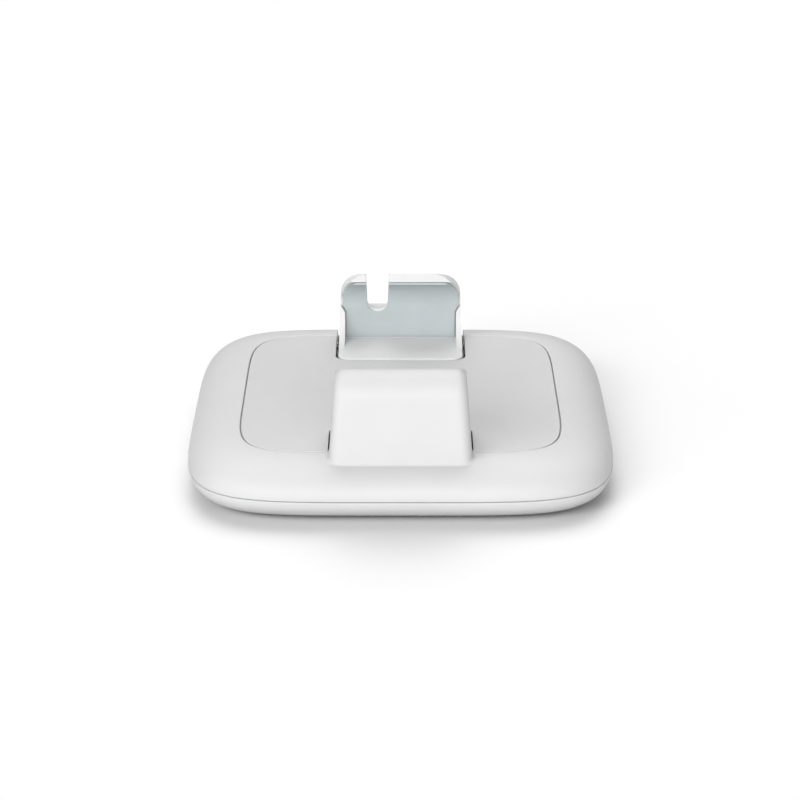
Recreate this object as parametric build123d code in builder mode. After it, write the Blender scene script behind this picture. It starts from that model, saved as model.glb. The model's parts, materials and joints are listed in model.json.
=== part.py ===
"""Access point with a rounded-square body, a port tower and a hinged mounting bracket.

Frame: millimetres, +Z up, the body lies on its flat radome.  The origin is the centre of the
resting face.  +Y points from the tower to the bracket, +X is to the right seen from the tower.
"""
import math
import os

from build123d import *

os.makedirs("parts", exist_ok=True)

# ---------------------------------------------------------------- driving dimensions
BODY_HALF = 110.0            # half width of the rounded-square body
BODY_POWER = 4.9             # exponent of its superellipse outline
PANEL_HALF = 83.0            # half width of the groove round the back panel
PANEL_POWER = 6.5
SEAM_Z = 12.5                # radome below, back shell above
SEAM_GAP = 0.5
CROWN = 15.6                 # height of the back shell above the seam
CROWN_POWER = 2.2            # exponent of the shell's rounded side
PANEL_TOP = SEAM_Z + CROWN
FOOT_INSET = 17.0            # radome side curves in by this much to its flat face
WALL = 2.4
RADOME_WALL = 2.2
OUTLINE_POINTS = 72

PANEL_THICK = 2.0
PANEL_GAP = 0.55
RECESS_Z = PANEL_TOP - PANEL_THICK
CEILING_Z = RECESS_Z - 2.0   # underside of the recess floor
CROWN_INSIDE = CEILING_Z - SEAM_Z

TOWER_FOOT_Y = -96.0         # the port tower's front face meets the ring here
TOWER_FOOT_Z = SEAM_Z + 14.0
TOWER_LEAN_DEG = 4.0         # its front face leans back
TOWER_ARC_Z = SEAM_Z + 46.8  # the face ends here and rounds over to the roof
TOWER_ARC_R = 13.0
TOWER_ROOF_DEG = 22.0        # the roof falls towards the bracket
TOWER_REAR_Y = -54.5
TOWER_HALF = 35.9            # half width at the panel's level
TOWER_DRAFT_DEG = 4.4
TOWER_SIDE_R = 5.5
TOWER_REAR_R = 2.0
TOWER_GAP = 0.65
TOWER_SLOT_Y = (-80.0, -57.0)
CHANNEL_REAR_Y = 108.6       # rear end of the channel's block, inside the rounded side wall
CHANNEL_SILL_Y = 107.2
FAR_OUT = 120.0              # beyond the body, for cuts that run out of it
BOSS_X = (37.0, 43.0)        # bush bosses on the channel's side walls
BOSS_R = 4.4
BUSH_X = (36.0, 43.0)
PIN_X = (22.5, 42.0)

CHANNEL_HALF = 35.8
CHANNEL_FRONT_Y = 44.3
CHANNEL_CORNER_R = 8.0
CHANNEL_FLOOR_Z = SEAM_Z + 2.3
CHANNEL_FLOOR_THICK = 2.0

PIVOT_Y = 84.0
PIVOT_Z = SEAM_Z + 9.0
BARREL_R = 6.0
PIN_R = 2.0
BUSH_R = 3.0
PIN_RUNNING = 0.05           # radial clearance of the pin in its bush
WASHER_R = 5.9
BRACKET_HALF = 34.4
UPRIGHT_HALF = 33.5
UPRIGHT_CORNER_R = 16.5
SEAT_FRONT_Y = 45.5
SEAT_CORNER_R = 7.0
SEAT_TOP = PANEL_TOP + 0.45
SEAT_THICK = 2.6
SEAT_EDGE_R = 0.8
SEAT_SLOT_Y = 76.5           # front of the slot that the liner dips into
SEAT_SLOT_DEPTH = 1.8
CHEEK_INNER = 31.1
CHEEK_TOP_HALF = 33.6        # the cheeks lean in by a little draft
CHEEK_TOP_Z = SEAM_Z + 34.6
CHEEK_R = 16.5               # hollow curve from the upright down to the seat
CHEEK_FOOT_Y = 61.5

PLATE_Y = 80.5               # front face of the steel liner
PLATE_THICK = 1.2
PLATE_BOTTOM_Z = SEAM_Z + 15.6
PLATE_BEND_Z = SEAM_Z + 35.3
PLATE_BEND_R = 17.0
PLATE_BEND_DEG = 57.0
PLATE_LOW_HALF = 30.5
PLATE_TOP_HALF = 32.3
PLATE_CORNER_R = 12.0
PLATE_CORNER_TOP_Z = SEAM_Z + 51.3
PLATE_STEP_Z = (SEAM_Z + 31.3, SEAM_Z + 34.6)
SKIN_GAP = 0.3               # bond line between the liner and the frame's skin
SKIN_THICK = 2.0
REAR_Y = 90.0
REAR_WALL = 2.2
REAR_ARC_R = 20.0
REAR_ARC_Z = SEAM_Z + 35.8
REAR_ARC_DEG = 72.0

NOTCH_X = -12.9
NOTCH_HALF = 5.8
NOTCH_TOP_HALF = 6.4         # the notch widens towards its mouth
NOTCH_MOUTH_R = 1.5
NOTCH_FLOOR_Z = SEAM_Z + 30.7
REAR_NOTCH_Z = SEAM_Z + 32.3
REAR_LEDGE_Y = 86.1          # ledge under the rear cover's notch

BOARD_Z = 14.0
BOARD_THICK = 1.6
BOARD_TOP = BOARD_Z + BOARD_THICK
SPREADER_Z = 9.5
SPREADER_THICK = 1.5
SPREADER_TOP = SPREADER_Z + SPREADER_THICK
BOARD_HOLES = [(-60, -60), (60, -60), (-60, 30), (60, 30)]
CASE_HOLES = [(-75.5, -58), (75.5, -58), (-75.5, 52), (75.5, 52)]

PORT_X = NOTCH_X
PORT_BOARD_Z = SEAM_Z + 15.4
PORT_BOARD_TOP = PORT_BOARD_Z + BOARD_THICK
PORT_HOLES = [(-24, -84), (24, -84), (-24, -64), (24, -64)]
JACK_W, JACK_H, JACK_L = 16.0, 13.4, 21.0
JACK_FACE_Y = TOWER_REAR_Y - 0.4
SOCKET_W, SOCKET_H, SOCKET_L = 11.8, 8.4, 13.0
SOCKET_Z = PORT_BOARD_TOP + 6.6

BUTTON_X = 10.0
BUTTON_Z = PORT_BOARD_TOP + 6.0
BUTTON_R = 2.4

LED_XY = (0.0, -62.0)


# ---------------------------------------------------------------- outlines and helpers
def outline_power(half):
    """The outline gets squarer from the body's edge to the panel's groove."""
    blend = (BODY_HALF - half) / (BODY_HALF - PANEL_HALF)
    return BODY_POWER + (PANEL_POWER - BODY_POWER) * max(0.0, blend)


def rounded_square(half):
    """Points of the superellipse |x|^n + |y|^n = half^n at even angles."""
    n = outline_power(half)
    points = []
    for i in range(OUTLINE_POINTS):
        a = 2 * math.pi * i / OUTLINE_POINTS
        c, s = math.cos(a), math.sin(a)
        r = half / (abs(c) ** n + abs(s) ** n) ** (1 / n)
        points.append((r * c, r * s))
    return points


def outline(half, z):
    """A sketch of the rounded square at height z."""
    with BuildSketch(Plane.XY.offset(z)) as plan:
        with BuildLine():
            Spline(*rounded_square(half), periodic=True)
        make_face()
    return plan.sketch


def bowl(inner_half, run, base_z, rise, power, steps=8):
    """A solid whose side is a quarter superellipse, from wide at base_z to inner_half."""
    with BuildPart() as body:
        for i in range(steps + 1):
            t = 0.5 * math.pi * i / steps
            half = inner_half + run * max(math.cos(t), 0.0) ** (2 / power)
            add(outline(half, base_z + rise * math.sin(t) ** (2 / power)))
        loft()
    return body.part


def cylinder_at(x, y, z0, z1, radius, mode=Mode.ADD):
    """A vertical round post, boss or hole between two heights."""
    with Locations((x, y, z0)):
        Cylinder(radius, z1 - z0, align=(Align.CENTER, Align.CENTER, Align.MIN), mode=mode)


def block(x0, x1, y0, y1, z0, z1, mode=Mode.ADD):
    """A box between two corners."""
    with Locations((x0, y0, z0)):
        Box(x1 - x0, y1 - y0, z1 - z0, align=(Align.MIN, Align.MIN, Align.MIN), mode=mode)


def across(x0, x1, radius, y=PIVOT_Y, z=PIVOT_Z, mode=Mode.ADD):
    """A round bar or hole along X."""
    with Locations(Location((x0, y, z), (0, 90, 0))):
        Cylinder(radius, x1 - x0, align=(Align.CENTER, Align.CENTER, Align.MIN), mode=mode)


def save(piece, name):
    """Label the piece and write its file."""
    piece.part.label = name
    export_step(piece.part, f"parts/{name}.step")


# ---------------------------------------------------------------- front radome
radome_outside = bowl(BODY_HALF - FOOT_INSET, FOOT_INSET, SEAM_Z - SEAM_GAP / 2, SEAM_GAP / 2 - SEAM_Z, 2)
radome_inside = bowl(BODY_HALF - FOOT_INSET - RADOME_WALL, FOOT_INSET, SEAM_Z, RADOME_WALL - SEAM_Z, 2)

with BuildPart() as front_radome:
    add(radome_outside)
    add(radome_inside, mode=Mode.SUBTRACT)
    # tongue that laps inside the back shell, left open where the channel floor passes
    add(outline(BODY_HALF - WALL - 0.7, SEAM_Z - 3.5))
    extrude(amount=5.5)
    add(outline(BODY_HALF - WALL - 2.1, SEAM_Z - 3.5))
    extrude(amount=5.5, mode=Mode.SUBTRACT)
    block(-CHANNEL_HALF - 8, CHANNEL_HALF + 8, 80, CHANNEL_SILL_Y, SEAM_Z - 0.4, SEAM_Z + 3, mode=Mode.SUBTRACT)
    for x, y in CASE_HOLES:
        cylinder_at(x, y, 1.0, CEILING_Z, 3.6)
        cylinder_at(x, y, CEILING_Z - 8.0, CEILING_Z, 2.1, mode=Mode.SUBTRACT)
    for x, y in BOARD_HOLES:
        cylinder_at(x, y, 1.0, SPREADER_Z, 3.2)
        cylinder_at(x, y, 3.2, SPREADER_Z, 1.25, mode=Mode.SUBTRACT)
    cylinder_at(*LED_XY, -1.0, 3.0, 1.5, mode=Mode.SUBTRACT)
save(front_radome, "front_radome")


# ---------------------------------------------------------------- port tower
def tower_profile(inset, floor_z, rear_y):
    """Side view of the tower: a leaning face, an arc and a roof that falls to the rear."""
    lean, roof = math.radians(TOWER_LEAN_DEG), math.radians(TOWER_ROOF_DEG)
    start_y = TOWER_FOOT_Y + (TOWER_ARC_Z - TOWER_FOOT_Z) * math.tan(lean)
    centre = (start_y + TOWER_ARC_R * math.cos(lean), TOWER_ARC_Z - TOWER_ARC_R * math.sin(lean))
    radius = TOWER_ARC_R - inset
    first, middle, last = [
        (centre[0] - radius * math.cos(a), centre[1] + radius * math.sin(a))
        for a in (lean, (lean + math.pi / 2 + roof) / 2, math.pi / 2 + roof)
    ]
    foot = (first[0] - (first[1] - floor_z) * math.tan(lean), floor_z)
    eave = (rear_y, last[1] - (rear_y - last[0]) * math.tan(roof))
    with BuildSketch(Plane.YZ.offset(-60)) as side:
        with BuildLine():
            Line(foot, first)
            ThreePointArc(first, middle, last)
            Polyline(last, eave, (rear_y, floor_z), foot)
        make_face()
    return side.sketch


def tower_body(inset, floor_z, rear_y, side_r, rear_r):
    """The tower as a solid: its side view, narrowed upward by the draft of its walls."""
    half = TOWER_HALF - inset
    lean = math.tan(math.radians(TOWER_DRAFT_DEG))
    low, high = PANEL_TOP - 20, PANEL_TOP + 60
    with BuildPart() as tower:
        extrude(tower_profile(inset, floor_z, rear_y), amount=FAR_OUT, dir=(1, 0, 0))
        with BuildSketch(Plane.XZ.offset(150)):
            with BuildLine():
                Polyline((half + 20 * lean, low), (half - 60 * lean, high), (-half + 60 * lean, high),
                         (-half - 20 * lean, low), (half + 20 * lean, low))
            make_face()
        extrude(amount=-300, mode=Mode.INTERSECT)
        fillet([e for e in tower.edges()
                if abs(e.center().X) > 20 and e.center().Y < rear_y - 0.5 and e.center().Z > floor_z + 0.5],
               side_r)
        fillet([e for e in tower.edges()
                if abs(e.center().Y - rear_y) < 0.01 and e.center().Z > floor_z + 0.5], rear_r)
    return tower.part


# ---------------------------------------------------------------- back shell
def channel_outline(half, front_y, corner_r, rear_y, z):
    """Plan of the channel at height z: open at the back, with two rounded front corners."""
    with BuildSketch(Plane.XY.offset(z)) as plan:
        with BuildLine():
            Polyline((half, rear_y), (half, front_y + corner_r))
            RadiusArc((half, front_y + corner_r), (half - corner_r, front_y), corner_r)
            Line((half - corner_r, front_y), (-half + corner_r, front_y))
            RadiusArc((-half + corner_r, front_y), (-half, front_y + corner_r), corner_r)
            Polyline((-half, front_y + corner_r), (-half, rear_y), (half, rear_y))
        make_face()
    return plan.sketch


shell_outside = bowl(PANEL_HALF, BODY_HALF - PANEL_HALF, SEAM_Z + SEAM_GAP / 2, CROWN - SEAM_GAP / 2,
                     CROWN_POWER)
shell_inside = bowl(PANEL_HALF, BODY_HALF - PANEL_HALF - WALL, SEAM_Z, CROWN_INSIDE, CROWN_POWER)
tower_outside = tower_body(0.0, CEILING_Z, TOWER_REAR_Y, TOWER_SIDE_R, TOWER_REAR_R)
tower_inside = tower_body(WALL, CEILING_Z - 3, TOWER_REAR_Y - WALL, TOWER_SIDE_R - WALL, 0.8)

with BuildPart() as back_shell:
    add(shell_outside)
    # hollow inside, leaving the rounded side wall and the recess floor
    add(shell_inside, mode=Mode.SUBTRACT)
    # recess for the back panel
    add(outline(PANEL_HALF, RECESS_Z))
    extrude(amount=10, mode=Mode.SUBTRACT)
    # solid block of the channel, trimmed to the body, then the channel cut out of it
    add(channel_outline(CHANNEL_HALF + WALL, CHANNEL_FRONT_Y - WALL, CHANNEL_CORNER_R + WALL, CHANNEL_REAR_Y,
                        CHANNEL_FLOOR_Z - CHANNEL_FLOOR_THICK))
    extrude(amount=RECESS_Z - CHANNEL_FLOOR_Z + CHANNEL_FLOOR_THICK - 0.8)
    for side in (-1, 1):
        across(*sorted((side * BOSS_X[0], side * BOSS_X[1])), BOSS_R)
    add(channel_outline(CHANNEL_HALF, CHANNEL_FRONT_Y, CHANNEL_CORNER_R, FAR_OUT, CHANNEL_FLOOR_Z))
    extrude(amount=30, mode=Mode.SUBTRACT)
    across(-BUSH_X[1] - 0.5, BUSH_X[1] + 0.5, BUSH_R, mode=Mode.SUBTRACT)
    # port tower with its hollow
    add(tower_outside)
    add(tower_inside, mode=Mode.SUBTRACT)
    # open slots in the recess floor beside the tower
    for side in (-1, 1):
        block(*sorted((side * (TOWER_HALF + 0.2), side * (TOWER_HALF + TOWER_GAP))), *TOWER_SLOT_Y,
              CEILING_Z - 1, RECESS_Z + 1, mode=Mode.SUBTRACT)
    # port and button openings in the tower's rear wall
    block(PORT_X - JACK_W / 2 - 0.2, PORT_X + JACK_W / 2 + 0.2, TOWER_REAR_Y - 4, TOWER_REAR_Y + 1,
          PORT_BOARD_TOP - 0.3, PORT_BOARD_TOP + JACK_H + 0.3, mode=Mode.SUBTRACT)
    with Locations(Location((BUTTON_X, TOWER_REAR_Y + 1, BUTTON_Z), (90, 0, 0))):
        Cylinder(BUTTON_R + 0.25, 6, align=(Align.CENTER, Align.CENTER, Align.MIN), mode=Mode.SUBTRACT)
    # screw holes and the panel's hook slots
    for x, y in CASE_HOLES:
        cylinder_at(x, y, CEILING_Z - 1, RECESS_Z + 1, 1.7, mode=Mode.SUBTRACT)
        with Locations((x, y, RECESS_Z)):
            Cone(1.7, 3.2, 1.5, align=(Align.CENTER, Align.CENTER, Align.MAX), mode=Mode.SUBTRACT)
    for sx in (-1, 1):
        for y in (-40, 40):
            block(sx * 72 - 1.2, sx * 72 + 1.2, y - 4.6, y + 4.6, CEILING_Z - 1, RECESS_Z + 1,
                  mode=Mode.SUBTRACT)
save(back_shell, "back_shell")

# ---------------------------------------------------------------- back panel
with BuildPart() as back_panel:
    add(outline(PANEL_HALF - PANEL_GAP, RECESS_Z))
    extrude(amount=PANEL_THICK)
    with BuildSketch(Plane.XY.offset(RECESS_Z - 1)):
        with Locations((0, (TOWER_REAR_Y + TOWER_GAP - 100) / 2)):
            RectangleRounded(2 * (TOWER_HALF + TOWER_GAP), 100 + TOWER_REAR_Y + TOWER_GAP, TOWER_REAR_R)
    extrude(amount=10, mode=Mode.SUBTRACT)
    add(channel_outline(CHANNEL_HALF, CHANNEL_FRONT_Y, CHANNEL_CORNER_R, FAR_OUT, RECESS_Z - 1))
    extrude(amount=10, mode=Mode.SUBTRACT)
    for sx in (-1, 1):
        for y in (-40, 40):
            block(sx * 72 - 0.7, sx * 72 + 0.7, y - 4.0, y + 4.0, CEILING_Z - 1.4, RECESS_Z)
save(back_panel, "back_panel")


# ---------------------------------------------------------------- bracket: frame, rear cover, liner
def upright_curve(radius):
    """The start, middle and end of an arc round the centre of the liner's bend."""
    centre = (PLATE_Y - PLATE_BEND_R, PLATE_BEND_Z)
    angles = [math.radians(a) for a in (0, PLATE_BEND_DEG / 2, PLATE_BEND_DEG)]
    return [(centre[0] + radius * math.cos(a), centre[1] + radius * math.sin(a)) for a in angles]


def sheet_profile(inner_r, outer_r, low_z, half):
    """Side view of a sheet that stands upright and bends forward at its top."""
    inner = upright_curve(inner_r)
    outer = upright_curve(outer_r)
    with BuildSketch(Plane.YZ.offset(-half)) as side:
        with BuildLine():
            Line((inner[0][0], low_z), inner[0])
            ThreePointArc(*inner)
            Line(inner[2], outer[2])
            ThreePointArc(*outer)
            Polyline(outer[0], (outer[0][0], low_z), (inner[0][0], low_z))
        make_face()
    return side.sketch


def front_outline(half, low_z, top_z, corner_r):
    """Front view of the upright: straight sides and two rounded top corners."""
    with BuildSketch(Plane.XZ.offset(-FAR_OUT)) as front:
        with BuildLine():
            Line((half, low_z), (half, top_z - corner_r))
            RadiusArc((half, top_z - corner_r), (half - corner_r, top_z), -corner_r)
            Line((half - corner_r, top_z), (-half + corner_r, top_z))
            RadiusArc((-half + corner_r, top_z), (-half, top_z - corner_r), -corner_r)
            Polyline((-half, top_z - corner_r), (-half, low_z), (half, low_z))
        make_face()
    return front.sketch


def notch(floor_z, round_bottom):
    """Front view of the cable notch: a little wider towards its rounded mouth."""
    low = floor_z + (NOTCH_HALF if round_bottom else 0)
    mouth, r = LIP_TOP - NOTCH_MOUTH_R, NOTCH_MOUTH_R
    left, right = NOTCH_X - NOTCH_TOP_HALF, NOTCH_X + NOTCH_TOP_HALF
    with BuildSketch(Plane.XZ.offset(-FAR_OUT)) as cut:
        with BuildLine():
            Line((NOTCH_X - NOTCH_HALF, low), (left, mouth))
            RadiusArc((left, mouth), (left - r, LIP_TOP), -r)
            Polyline((left - r, LIP_TOP), (left - r, LIP_TOP + 3), (right + r, LIP_TOP + 3),
                     (right + r, LIP_TOP))
            RadiusArc((right + r, LIP_TOP), (right, mouth), -r)
            Polyline((right, mouth), (NOTCH_X + NOTCH_HALF, low), (NOTCH_X - NOTCH_HALF, low))
        make_face()
        if round_bottom:
            with Locations((NOTCH_X, low)):
                Circle(NOTCH_HALF)
    return cut.sketch


SKIN_IN_R = PLATE_BEND_R + PLATE_THICK + SKIN_GAP
SKIN_OUT_R = SKIN_IN_R + SKIN_THICK
SKIN_Y = PLATE_Y - PLATE_BEND_R + SKIN_IN_R
SKIN_REAR_Y = SKIN_Y + SKIN_THICK
SIN_45 = math.sin(math.pi / 4)
LIP_TOP = REAR_ARC_Z + REAR_ARC_R * math.sin(math.radians(REAR_ARC_DEG))
SCREW_R, INSERT_OUT_R, INSERT_HOLE_R, INSERT_LONG = 1.1, 2.8, 2.0, 5.0
SCREW_SPOTS = [(-26, SEAM_Z + 17.0), (26, SEAM_Z + 17.0), (-26, SEAM_Z + 34.0), (26, SEAM_Z + 34.0)]
INSERT_SPOTS = [(-20, SEAM_Z + 25.5), (20, SEAM_Z + 25.5)]

with BuildPart() as seat_plate:
    add(channel_outline(BRACKET_HALF, SEAT_FRONT_Y, SEAT_CORNER_R, SKIN_REAR_Y, SEAT_TOP - SEAT_THICK))
    extrude(amount=SEAT_THICK)
    fillet([e for e in seat_plate.edges()
            if abs(e.center().Z - SEAT_TOP) < 0.01 and e.center().Y < SKIN_REAR_Y - 1], SEAT_EDGE_R)
    block(-CHEEK_INNER, CHEEK_INNER, SEAT_SLOT_Y, SKIN_Y, SEAT_TOP - SEAT_SLOT_DEPTH, SEAT_TOP + 1,
          mode=Mode.SUBTRACT)

with BuildPart() as bracket_frame:
    # skin behind the liner
    extrude(sheet_profile(SKIN_IN_R, SKIN_OUT_R, PIVOT_Z + 2, UPRIGHT_HALF), amount=2 * UPRIGHT_HALF,
            dir=(1, 0, 0))
    extrude(front_outline(UPRIGHT_HALF, 0, LIP_TOP, UPRIGHT_CORNER_R), amount=FAR_OUT, dir=(0, -1, 0),
            mode=Mode.INTERSECT)
    extrude(notch(NOTCH_FLOOR_Z + 0.8, True), amount=FAR_OUT, dir=(0, -1, 0), mode=Mode.SUBTRACT)
    # barrel, web and seat
    across(-BRACKET_HALF, BRACKET_HALF, BARREL_R)
    block(-BRACKET_HALF, BRACKET_HALF, 79.0, SKIN_REAR_Y, PIVOT_Z + 1, SEAT_TOP - SEAT_SLOT_DEPTH)
    add(seat_plate.part)
    # cheeks: side walls that fall in a hollow curve from the upright to the seat
    for side in (-1, 1):
        x0, x1 = sorted((side * CHEEK_INNER, side * BRACKET_HALF))
        with BuildSketch(Plane.YZ.offset(x0)):
            with BuildLine():
                ThreePointArc((CHEEK_FOOT_Y, SEAT_TOP),
                              (CHEEK_FOOT_Y + CHEEK_R * SIN_45, SEAT_TOP + CHEEK_R * (1 - SIN_45)),
                              (CHEEK_FOOT_Y + CHEEK_R, SEAT_TOP + CHEEK_R))
                Polyline((CHEEK_FOOT_Y + CHEEK_R, SEAT_TOP + CHEEK_R), (CHEEK_FOOT_Y + CHEEK_R, CHEEK_TOP_Z),
                         (SKIN_REAR_Y, CHEEK_TOP_Z), (SKIN_REAR_Y, PIVOT_Z),
                         (CHEEK_FOOT_Y + CHEEK_R, SEAT_TOP - SEAT_THICK),
                         (CHEEK_FOOT_Y, SEAT_TOP - SEAT_THICK), (CHEEK_FOOT_Y, SEAT_TOP))
            make_face()
        extrude(amount=x1 - x0)
    # draft on the cheeks' outer faces
    with BuildSketch(Plane.XZ.offset(-FAR_OUT)):
        for side in (-1, 1):
            with BuildLine():
                Polyline((side * BRACKET_HALF, SEAT_TOP), (side * CHEEK_TOP_HALF, CHEEK_TOP_Z),
                         (side * CHEEK_TOP_HALF, CHEEK_TOP_Z + 3), (side * (BRACKET_HALF + 2), CHEEK_TOP_Z + 3),
                         (side * (BRACKET_HALF + 2), SEAT_TOP), (side * BRACKET_HALF, SEAT_TOP))
            make_face()
    extrude(amount=FAR_OUT, mode=Mode.SUBTRACT)
    # room for the liner and its bend line beside the cheeks' tops
    with BuildSketch(Plane.XZ.offset(-SKIN_Y)):
        for side in (-1, 1):
            with BuildLine():
                Polyline((side * (PLATE_LOW_HALF + 0.6), PLATE_STEP_Z[0]),
                         (side * (PLATE_TOP_HALF + 0.8), PLATE_STEP_Z[1]),
                         (side * (PLATE_TOP_HALF + 0.8), PLATE_STEP_Z[1] + 8),
                         (side * (PLATE_LOW_HALF + 0.6), PLATE_STEP_Z[1] + 8),
                         (side * (PLATE_LOW_HALF + 0.6), PLATE_STEP_Z[0]))
            make_face()
    extrude(amount=12, mode=Mode.SUBTRACT)
    # pin bores, screw bosses behind the skin
    across(-BRACKET_HALF - 1, 0.5 - PIN_X[0], PIN_R, mode=Mode.SUBTRACT)
    across(PIN_X[0] - 0.5, BRACKET_HALF + 1, PIN_R, mode=Mode.SUBTRACT)
    for x, z in SCREW_SPOTS:
        with Locations(Location((x, SKIN_Y + 0.5, z), (-90, 0, 0))):
            Cylinder(2.6, REAR_Y - REAR_WALL - SKIN_Y - 0.5, align=(Align.CENTER, Align.CENTER, Align.MIN))
    for x, z in SCREW_SPOTS:
        with Locations(Location((x, SKIN_Y + 1.0, z), (-90, 0, 0))):
            Cylinder(SCREW_R, 10, align=(Align.CENTER, Align.CENTER, Align.MIN), mode=Mode.SUBTRACT)
save(bracket_frame, "bracket_frame")


def rear_profile(low_z):
    """Side view of the space behind the skin, bounded by the rear cover's curved outside."""
    angles = [math.radians(a) for a in (0, REAR_ARC_DEG / 2, REAR_ARC_DEG)]
    centre_y = REAR_Y - REAR_ARC_R
    rear = [(centre_y + REAR_ARC_R * math.cos(a), REAR_ARC_Z + REAR_ARC_R * math.sin(a)) for a in angles]
    skin = upright_curve(SKIN_OUT_R)
    with BuildSketch(Plane.YZ.offset(-UPRIGHT_HALF)) as side:
        with BuildLine():
            Line((SKIN_REAR_Y, low_z), skin[0])
            ThreePointArc(*skin)
            Line(skin[2], rear[2])
            ThreePointArc(*rear)
            Polyline(rear[0], (REAR_Y, low_z), (SKIN_REAR_Y, low_z))
        make_face()
    return side.sketch


with BuildPart() as bracket_rear_cover:
    extrude(rear_profile(PIVOT_Z + 1.0), amount=2 * UPRIGHT_HALF, dir=(1, 0, 0))
    extrude(front_outline(UPRIGHT_HALF, 0, LIP_TOP, UPRIGHT_CORNER_R), amount=FAR_OUT, dir=(0, -1, 0),
            mode=Mode.INTERSECT)
    # hollow: everything but the rear wall, the side walls and the lip
    with BuildSketch(Plane.XZ.offset(-(REAR_Y - REAR_WALL))):
        with Locations((0, (PIVOT_Z + SEAM_Z + 44) / 2)):
            Rectangle(2 * (UPRIGHT_HALF - REAR_WALL), SEAM_Z + 44 - PIVOT_Z)
    extrude(amount=30, mode=Mode.SUBTRACT)
    block(NOTCH_X - NOTCH_HALF - 2, NOTCH_X + NOTCH_HALF + 2, REAR_LEDGE_Y, REAR_Y - 1, REAR_NOTCH_Z - 6,
          REAR_NOTCH_Z + 2)
    extrude(notch(REAR_NOTCH_Z, False), amount=FAR_OUT, dir=(0, -1, 0), mode=Mode.SUBTRACT)
    across(-40, 40, BARREL_R + 0.05, mode=Mode.SUBTRACT)
    # screw holes with countersinks, and bosses for the two mounting inserts
    for x, z in SCREW_SPOTS:
        with Locations(Location((x, REAR_Y + 0.01, z), (90, 0, 0))):
            Cylinder(1.5, 6, align=(Align.CENTER, Align.CENTER, Align.MIN), mode=Mode.SUBTRACT)
            Cone(2.7, 1.5, 1.2, align=(Align.CENTER, Align.CENTER, Align.MIN), mode=Mode.SUBTRACT)
    for x, z in INSERT_SPOTS:
        with Locations(Location((x, REAR_Y, z), (90, 0, 0))):
            Cylinder(INSERT_OUT_R + 1.6, REAR_Y - SKIN_REAR_Y, align=(Align.CENTER, Align.CENTER, Align.MIN))
            Cylinder(INSERT_OUT_R, INSERT_LONG, align=(Align.CENTER, Align.CENTER, Align.MIN), mode=Mode.SUBTRACT)
save(bracket_rear_cover, "bracket_rear_cover")

with BuildPart() as bracket_liner:
    extrude(sheet_profile(PLATE_BEND_R, PLATE_BEND_R + PLATE_THICK, PLATE_BOTTOM_Z, PLATE_TOP_HALF),
            amount=2 * PLATE_TOP_HALF, dir=(1, 0, 0))
    extrude(front_outline(PLATE_TOP_HALF, 0, PLATE_CORNER_TOP_Z, PLATE_CORNER_R), amount=FAR_OUT,
            dir=(0, -1, 0), mode=Mode.INTERSECT)
    with BuildSketch(Plane.XZ.offset(-FAR_OUT)):
        for side in (-1, 1):
            with BuildLine():
                Polyline((side * PLATE_LOW_HALF, 0), (side * PLATE_LOW_HALF, PLATE_STEP_Z[0]),
                         (side * PLATE_TOP_HALF, PLATE_STEP_Z[1]), (side * 40, PLATE_STEP_Z[1]),
                         (side * 40, 0), (side * PLATE_LOW_HALF, 0))
            make_face()
    extrude(amount=FAR_OUT, mode=Mode.SUBTRACT)
    extrude(notch(NOTCH_FLOOR_Z, True), amount=FAR_OUT, dir=(0, -1, 0), mode=Mode.SUBTRACT)
save(bracket_liner, "bracket_liner")

with BuildPart() as liner_tape:
    block(-28, 28, SKIN_Y - SKIN_GAP, SKIN_Y, PLATE_BOTTOM_Z + 2, PLATE_BEND_Z)
    extrude(notch(NOTCH_FLOOR_Z - 2.0, True), amount=FAR_OUT, dir=(0, -1, 0), mode=Mode.SUBTRACT)
save(liner_tape, "liner_tape")

with BuildPart() as mount_inserts:
    for x, z in INSERT_SPOTS:
        with Locations(Location((x, REAR_Y, z), (90, 0, 0))):
            Cylinder(INSERT_OUT_R, INSERT_LONG, align=(Align.CENTER, Align.CENTER, Align.MIN))
            Cylinder(INSERT_HOLE_R, 4.4, align=(Align.CENTER, Align.CENTER, Align.MIN), mode=Mode.SUBTRACT)
save(mount_inserts, "mount_inserts")

with BuildPart() as bracket_screws:
    for x, z in SCREW_SPOTS:
        with Locations(Location((x, REAR_Y - 0.1, z), (90, 0, 0))):
            Cone(2.5, SCREW_R, 1.2, align=(Align.CENTER, Align.CENTER, Align.MIN))
            Cylinder(SCREW_R, 6.0, align=(Align.CENTER, Align.CENTER, Align.MIN))
        block(x - 1.1, x + 1.1, REAR_Y - 0.5, REAR_Y, z - 0.25, z + 0.25, mode=Mode.SUBTRACT)
        block(x - 0.25, x + 0.25, REAR_Y - 0.5, REAR_Y, z - 1.1, z + 1.1, mode=Mode.SUBTRACT)
save(bracket_screws, "bracket_screws")

# ---------------------------------------------------------------- hinge
with BuildPart() as hinge_pins:
    across(-PIN_X[1], -PIN_X[0], PIN_R)
    across(*PIN_X, PIN_R)
    chamfer(hinge_pins.edges().filter_by(GeomType.CIRCLE), 0.4)
save(hinge_pins, "hinge_pins")

with BuildPart() as hinge_bushes:
    for side in (-1, 1):
        across(*sorted((side * BUSH_X[0], side * BUSH_X[1])), BUSH_R)
    across(-BUSH_X[1] - 1, BUSH_X[1] + 1, PIN_R + PIN_RUNNING, mode=Mode.SUBTRACT)
save(hinge_bushes, "hinge_bushes")

with BuildPart() as friction_washers:
    for side in (-1, 1):
        across(*sorted((side * (BRACKET_HALF + 0.15), side * (BRACKET_HALF + 0.85))), WASHER_R)
    across(-BUSH_X[1] - 1, BUSH_X[1] + 1, PIN_R + PIN_RUNNING, mode=Mode.SUBTRACT)
save(friction_washers, "friction_washers")

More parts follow.
